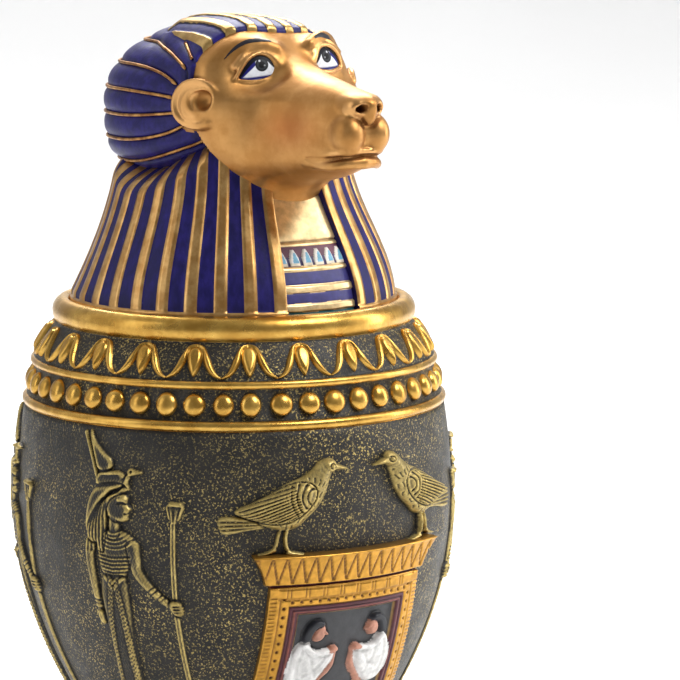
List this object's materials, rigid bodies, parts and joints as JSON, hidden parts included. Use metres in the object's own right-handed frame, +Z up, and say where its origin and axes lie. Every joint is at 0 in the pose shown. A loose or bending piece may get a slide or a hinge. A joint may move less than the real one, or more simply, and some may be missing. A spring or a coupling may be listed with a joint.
{
  "type": "canopic jar",
  "caption": "Painted cast-resin replica of an Egyptian canopic jar: a dark jar with gilt bands and figures in relief, and a gilt baboon-head lid in a blue and gold headcloth.",
  "frame": {"origin": "On the jar's own axis, at the centre of the flat underside of the foot.", "axes": "+Z up along the jar's axis, -Y toward the front, where the shrine is and the baboon looks, +X to the jar's own left, which is on the right seen from the front."},
  "size_m": [0.1258, 0.1318, 0.2288],
  "materials": {
    "bronzed_resin": "cast resin painted charcoal black and dry-brushed with dull gold",
    "gilt_resin": "cast resin painted a soft metallic gold, smooth",
    "blue_paint": "satin ultramarine paint on resin",
    "bright_gilt": "bright metallic gold paint on mouldings, rings and stripes",
    "painted_detail": "flat paints of the eyes, the small figures and the breast ornament"
  },
  "bodies": {
    "root": {"jar": "bronzed_resin", "lid": "gilt_resin"}
  },
  "joints": []
}
